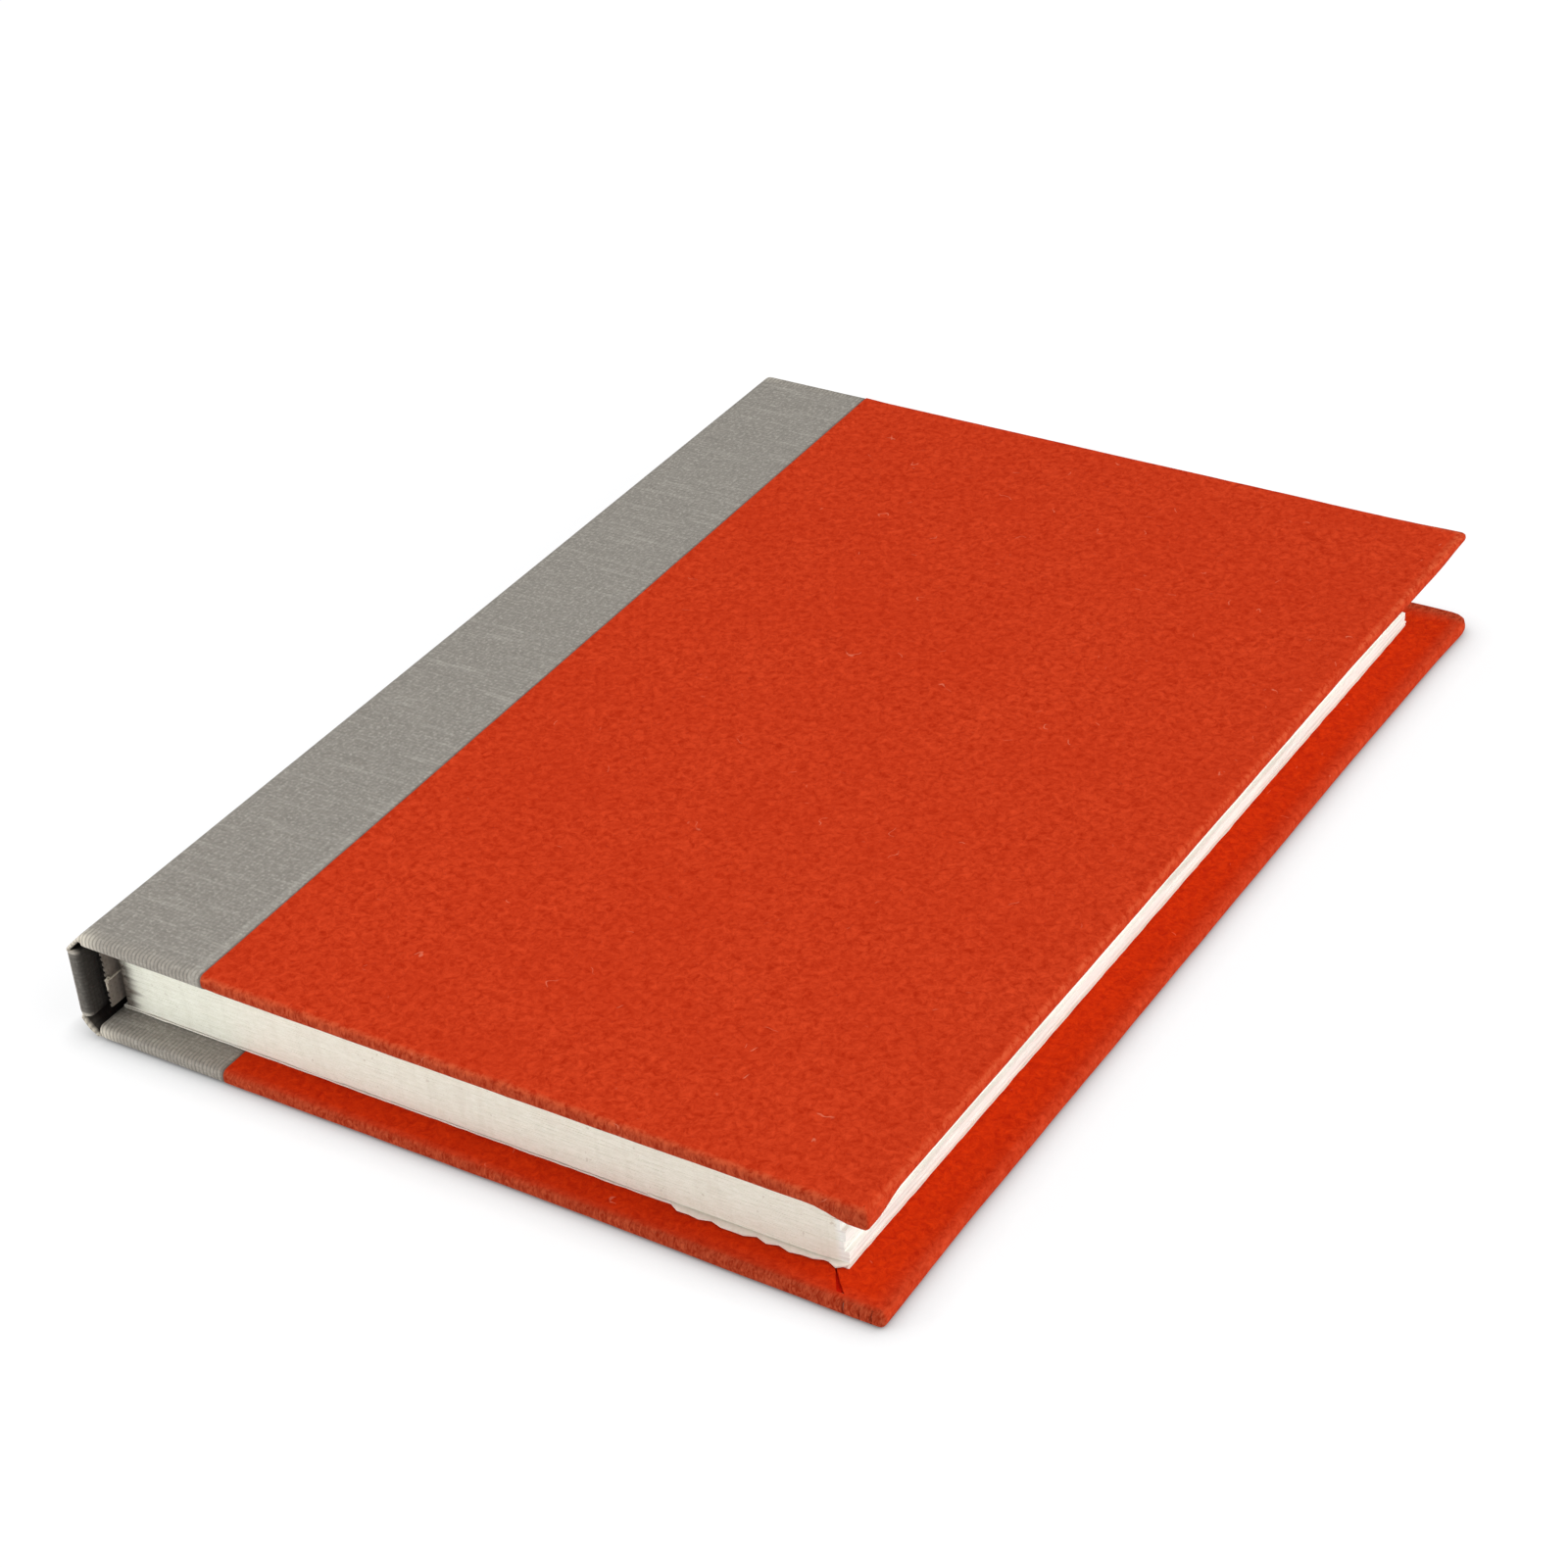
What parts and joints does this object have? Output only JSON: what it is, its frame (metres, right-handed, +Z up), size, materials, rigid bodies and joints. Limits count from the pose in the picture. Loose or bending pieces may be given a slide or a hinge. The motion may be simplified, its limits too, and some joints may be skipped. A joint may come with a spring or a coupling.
{
  "type": "notebook",
  "caption": "Handmade quarter-bound notebook lying closed, with sewn sections of handmade paper, a flat cloth spine and covers that open.",
  "frame": {"origin": "bottom centre of the closed book's bounding box, on the face that it lies on", "axes": "+Z up through the closed book from back cover to front cover, +X from the spine to the fore edge, +Y from tail to head"},
  "size_m": [0.1154, 0.157, 0.0162],
  "materials": {
    "greyboard": "matte grey-brown pulp board",
    "book_cloth": "matte grey woven cloth with slubs and light flecks",
    "side_paper": "matte vermilion handmade paper with felted fibres",
    "endpaper": "matte cream handmade paper",
    "leaves": "matte cream handmade paper, cut and torn edges",
    "linen_thread": "waxed linen thread",
    "lining_cloth": "open-weave lining cloth stiffened with paste"
  },
  "bodies": {
    "book_block": {"text_block": "leaves", "sewing_thread": "linen_thread", "spine_lining": "lining_cloth", "spine_board": "greyboard", "spine_cloth": "book_cloth", "front_endpaper": "endpaper", "back_endpaper": "endpaper"},
    "front_cover": {"front_board": "greyboard", "front_cover_paper": "side_paper"},
    "back_cover": {"back_board": "greyboard", "back_cover_paper": "side_paper"}
  },
  "joints": [
    {"name": "front_hinge", "type": "hinge", "parent": "book_block", "child": "front_cover", "pos_m": [-0.0551, 0, 0.0147], "axis": [0, -1, 0], "range_deg": [0, 180], "deforming": ["spine_cloth", "front_endpaper"]},
    {"name": "back_hinge", "type": "hinge", "parent": "book_block", "child": "back_cover", "pos_m": [-0.0551, 0, 0.0015], "axis": [0, 1, 0], "range_deg": [0, 180], "deforming": ["spine_cloth", "back_endpaper"]}
  ]
}
